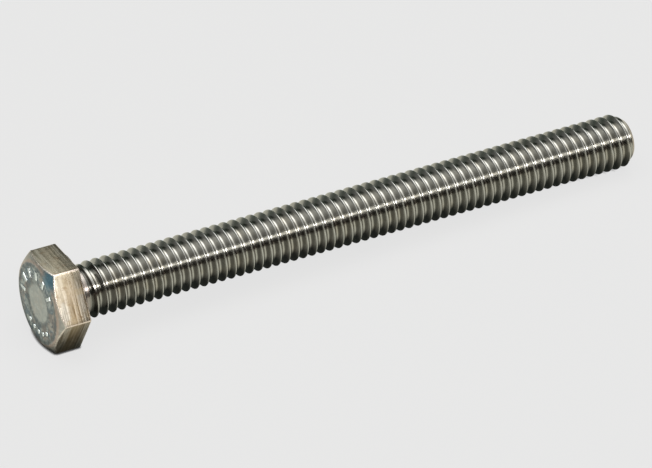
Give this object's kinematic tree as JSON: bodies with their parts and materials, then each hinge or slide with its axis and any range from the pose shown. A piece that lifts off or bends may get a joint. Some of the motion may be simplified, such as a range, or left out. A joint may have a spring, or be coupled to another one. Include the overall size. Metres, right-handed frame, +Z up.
{
  "type": "hex bolt",
  "caption": "Hex head bolt, threaded right up to the head, with a round bearing face under the head and a chamfered point.",
  "frame": {"origin": "centre of the bearing face under the head, on the bolt's axis", "axes": "+X along the shank, from the head to the point; +Z up, square to one flat of the hexagon, so the bolt lies with the opposite flat down; two corners of the hexagon point along +Y and -Y"},
  "size_m": [0.0934, 0.0146, 0.0128],
  "materials": {
    "head": "cold-forged stainless steel, dull and slightly stained, with bright worn edges",
    "marks": "cold-forged stainless steel, rubbed bright",
    "bearing": "plain stainless steel",
    "thread": "rolled stainless steel thread, bright and smooth"
  },
  "bodies": {
    "root": {"hex_head": "head", "head_marks": "marks", "washer_face": "bearing", "neck": "bearing", "thread_runout": "thread", "threaded_shank": "thread", "point": "thread"}
  },
  "joints": []
}
